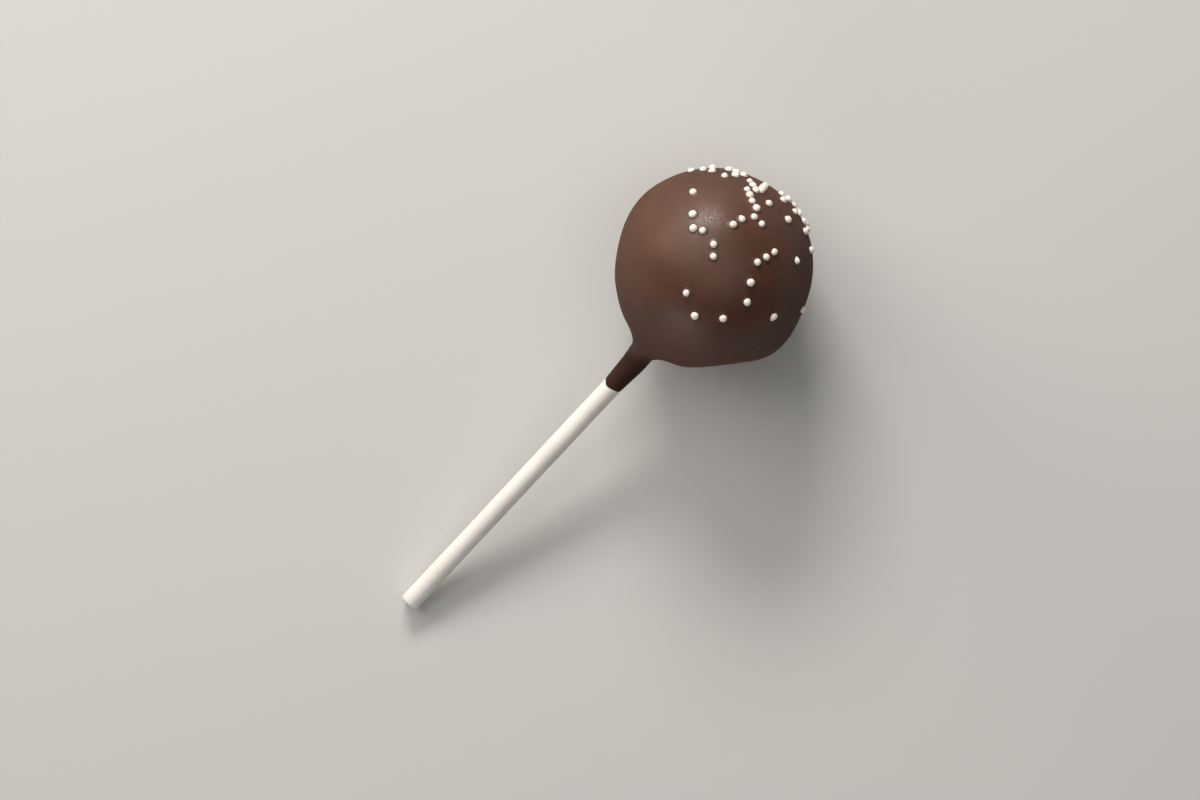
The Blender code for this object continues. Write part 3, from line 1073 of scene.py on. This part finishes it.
# %% Make the paper
FIBRE_STRETCH = 14.0  # how much longer than wide a fibre is
PAPER_GREY = (0.75, 0.715, 0.66, 1.0)
PAPER_WHITE = (0.81, 0.78, 0.735, 1.0)
FIBRES_A_METRE = 2600.0  # across the stick
PATCHES_A_METRE = 130.0
FIBRE_TINT = 0.25  # how much the fibres change the whites
FIBRE_BUMP = (0.6, 0.06 * MM)  # strength and height
PAPER_ROUGHNESS = 0.62
PAPER_SCATTER = 0.15  # the share of the shader that light goes into
PAPER_REACH = 1.0 * MM  # how far it goes in
PAPER_REACH_BY_COLOUR = (1.0, 0.95, 0.9)

paper, tree = new_finish("white_paper")
place = add_node(tree, "ShaderNodeTexCoord")
along_stick = add_node(
    tree,
    "ShaderNodeMapping",
    {
        "Vector": place.outputs["Object"],
        "Rotation": (0.0, -lean, 0.0),
        "Scale": (FIBRE_STRETCH, 1.0, 1.0),
    },
    vector_type="TEXTURE",
)
fibres = add_node(
    tree,
    "ShaderNodeTexNoise",
    {"Vector": along_stick.outputs["Vector"], "Scale": FIBRES_A_METRE, "Detail": 5.0, "Roughness": 0.6},
)
patches = add_node(
    tree,
    "ShaderNodeTexNoise",
    {"Vector": place.outputs["Object"], "Scale": PATCHES_A_METRE, "Detail": 3.0},
)
sheets = add_ramp(tree, patches.outputs["Fac"], [(0.3, PAPER_GREY), (0.7, PAPER_WHITE)])
fibrous = add_node(
    tree,
    "ShaderNodeMix",
    {"Factor": FIBRE_TINT, "A": sheets.outputs["Color"], "B": fibres.outputs["Color"]},
    data_type="RGBA",
    blend_type="SOFT_LIGHT",
)
fibre_bump = add_node(
    tree,
    "ShaderNodeBump",
    {"Height": fibres.outputs["Fac"], "Strength": FIBRE_BUMP[0], "Distance": FIBRE_BUMP[1]},
)
shader = add_node(
    tree,
    "ShaderNodeBsdfPrincipled",
    {
        "Base Color": in_use(fibrous.outputs, "Result"),
        "Roughness": PAPER_ROUGHNESS,
        "Normal": fibre_bump.outputs["Normal"],
        "Subsurface Weight": PAPER_SCATTER,
        "Subsurface Radius": PAPER_REACH_BY_COLOUR,
        "Subsurface Scale": PAPER_REACH,
    },
)
add_node(tree, "ShaderNodeOutputMaterial", {"Surface": shader.outputs["BSDF"]})
print("material:", paper.name)

# %% Lay the stick down
SEAM_ANGLE = math.radians(35)  # edges that bend by more than this stay sharp

paper_stick = add_piece("paper_stick", stick_points, stick_faces, paper)
paper_stick.data.set_sharp_from_angle(angle=SEAM_ANGLE)
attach(paper_stick, "root")
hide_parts("stick")
print(f"stick: {triangles_of(paper_stick)} triangles")

# %% [markdown]
# ## Measure and finish
#
# What was dressed must not have grown. The solids' box and the dressed pop's box are printed side by
# side.

# %% Print the sizes
visual_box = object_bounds()
boxes = {"cad": [list(corner) for corner in cad_box], "visual": [list(corner) for corner in visual_box]}
for name, (low, high) in boxes.items():
    print(name, "box:", " x ".join(f"{(top - base) / MM:.2f}" for base, top in zip(low, high)), "mm")
